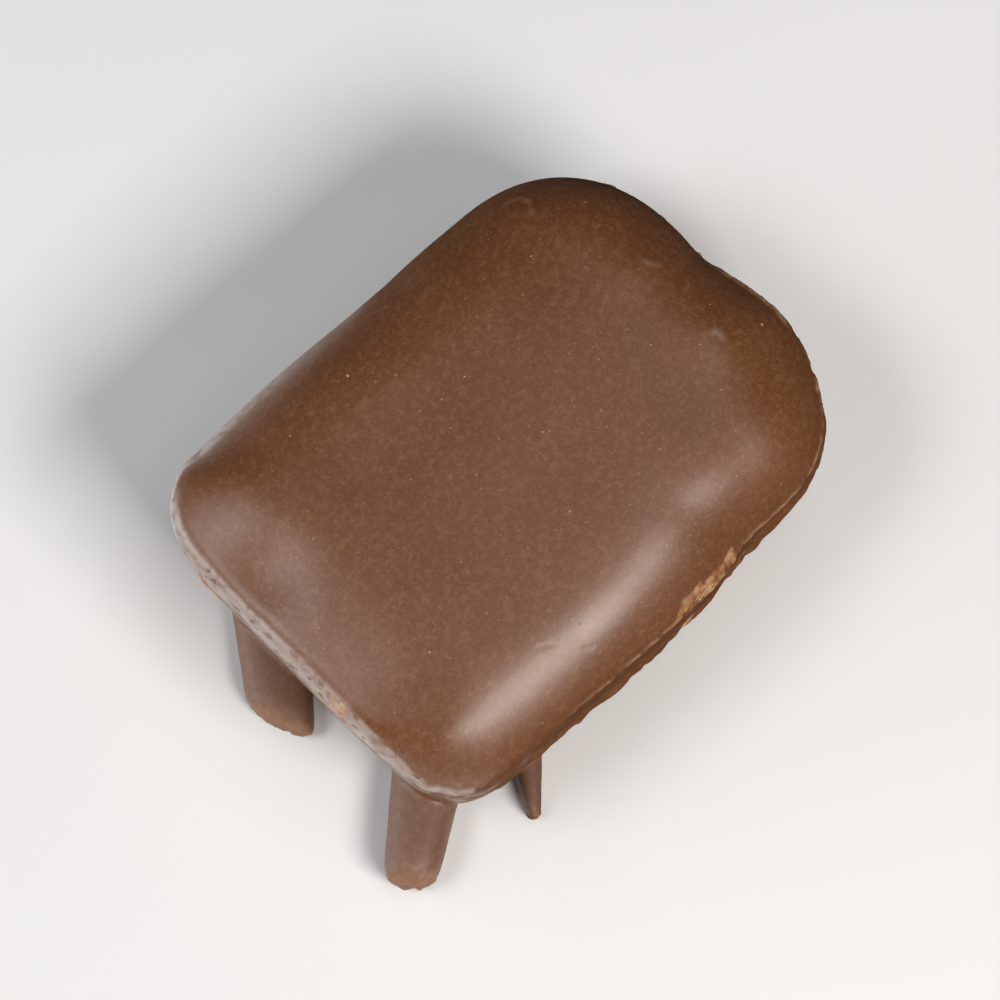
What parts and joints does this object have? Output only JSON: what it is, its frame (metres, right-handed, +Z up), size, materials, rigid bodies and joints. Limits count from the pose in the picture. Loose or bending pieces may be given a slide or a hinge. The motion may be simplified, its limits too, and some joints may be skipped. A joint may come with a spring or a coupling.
{
  "type": "chocolate coconut chew",
  "caption": "Soft-cornered block of coconut chew in a milk chocolate coating, with chocolate tails at its flat base; a sweet to serve or pack.",
  "frame": {"origin": "middle of the flat base, on the surface the chew rests on", "axes": "+X along the chew's length, away from its tails; +Y across its width; +Z up"},
  "size_m": [0.0412, 0.03, 0.0155],
  "materials": {
    "milk_chocolate": "satin"
  },
  "bodies": {
    "root": {"coated_chew": "milk_chocolate"}
  },
  "joints": []
}
